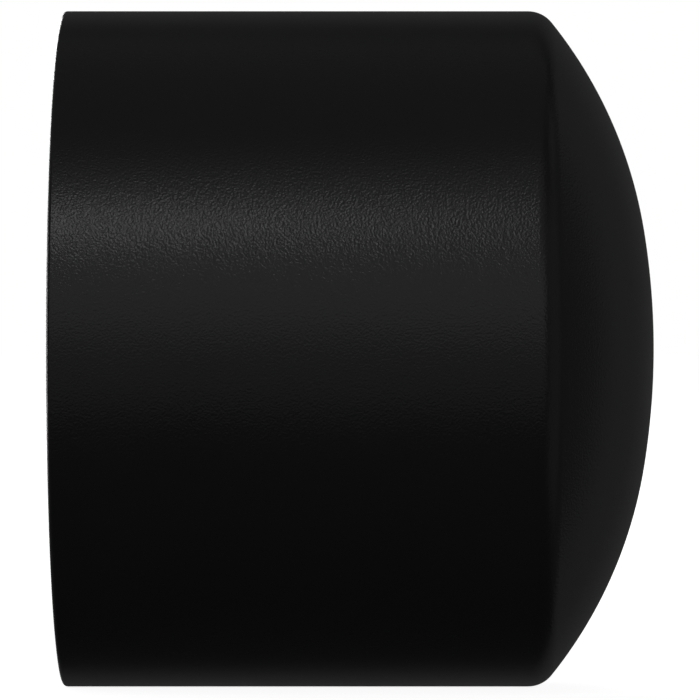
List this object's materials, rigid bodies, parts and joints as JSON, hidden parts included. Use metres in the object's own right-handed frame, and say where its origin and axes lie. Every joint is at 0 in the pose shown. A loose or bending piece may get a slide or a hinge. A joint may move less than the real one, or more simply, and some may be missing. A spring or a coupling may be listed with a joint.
{
  "type": "pipe cap",
  "caption": "Push-fit pipe cap: round straight wall, low domed end, and a blind socket with a pipe stop, a seal ring and a toothed grip ring for a plain pipe.",
  "frame": {"origin": "on the cap's axis, at the centre of the pipe's end when the pipe is home against its stop", "axes": "+X along the cap's axis, from the open rim to the crown of the dome; the cap is round about X, so +Y and +Z are any two directions across it"},
  "size_m": [0.0436, 0.05, 0.05],
  "materials": {
    "cap_shell": "black moulded plastic with a fine grain",
    "seal_ring": "smooth black EPDM, slightly greased",
    "backing_ring": "natural white acetal",
    "grip_ring": "stamped stainless spring steel",
    "retaining_ring": "black moulded plastic, smooth"
  },
  "bodies": {
    "root": {"cap_shell": "cap_shell", "seal_ring": "seal_ring", "backing_ring": "backing_ring", "grip_ring": "grip_ring", "retaining_ring": "retaining_ring"}
  },
  "joints": []
}
